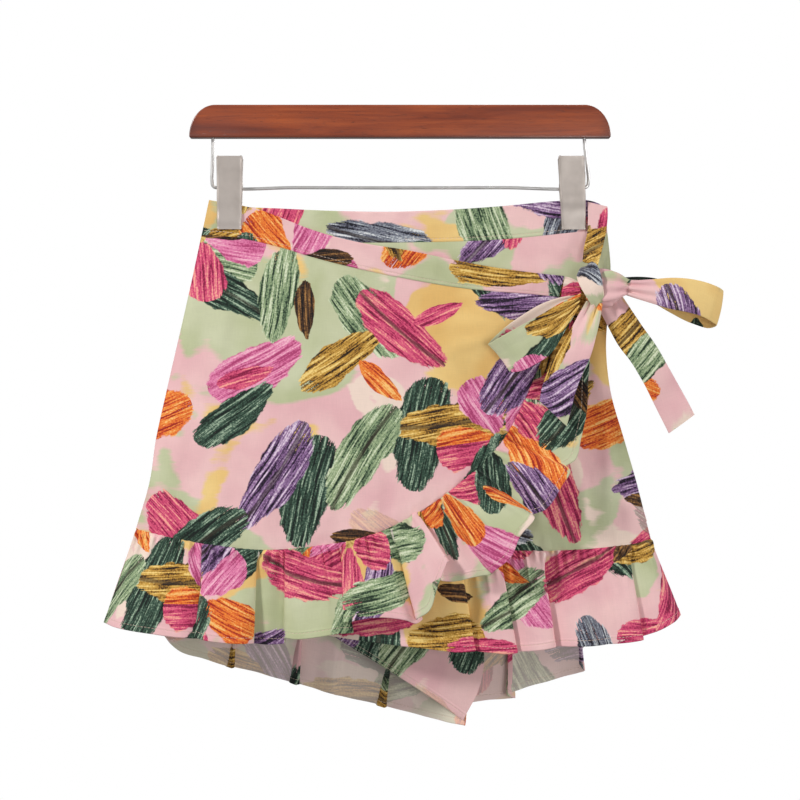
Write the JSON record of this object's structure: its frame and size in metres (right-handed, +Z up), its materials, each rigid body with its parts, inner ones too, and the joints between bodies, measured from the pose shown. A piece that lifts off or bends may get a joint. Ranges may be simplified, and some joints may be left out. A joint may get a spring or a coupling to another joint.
{
  "type": "wrap skort held in a clip hanger",
  "caption": "Wrap-front skort with gathered ruffle hems, leg openings and a side-tied bow, hanging flat from a wooden bar hanger with sprung clips.",
  "frame": {"origin": "middle of the flat top of the hanger's wooden bar, where a hook would be screwed in", "axes": "+X to the viewer's right along the bar, +Z up, the garment's front faces -Y"},
  "size_m": [0.5284, 0.084, 0.5325],
  "materials": {
    "printed_cotton": "plain-weave printed cotton, matt, with brush-stroke petals and leaves on pink, sage and butter grounds",
    "stained_wood": "cherry-stained hardwood, satin varnish",
    "nickel_wire": "nickel-plated wire, satin",
    "clip_plate": "satin-plated pressed steel"
  },
  "bodies": {
    "root": {"waistband_front": "printed_cotton", "waistband_back": "printed_cotton", "wrap_band": "printed_cotton", "front_over": "printed_cotton", "front_under": "printed_cotton", "shorts_front_left": "printed_cotton", "shorts_front_right": "printed_cotton", "back_left": "printed_cotton", "back_right": "printed_cotton", "ruffle_over": "printed_cotton", "ruffle_under": "printed_cotton", "ruffle_back_left": "printed_cotton", "ruffle_back_right": "printed_cotton", "tie_strap": "printed_cotton", "tie_wrap": "printed_cotton", "bow_loop_right": "printed_cotton", "bow_loop_left": "printed_cotton", "bow_tail_right": "printed_cotton", "bow_tail_left": "printed_cotton", "bow_knot": "printed_cotton", "hanger_bar": "stained_wood", "hanger_wire": "nickel_wire", "clip_left_spring": "nickel_wire", "clip_right_spring": "nickel_wire", "clip_left_front": "clip_plate", "clip_left_back": "clip_plate", "clip_right_front": "clip_plate", "clip_right_back": "clip_plate"}
  },
  "joints": []
}
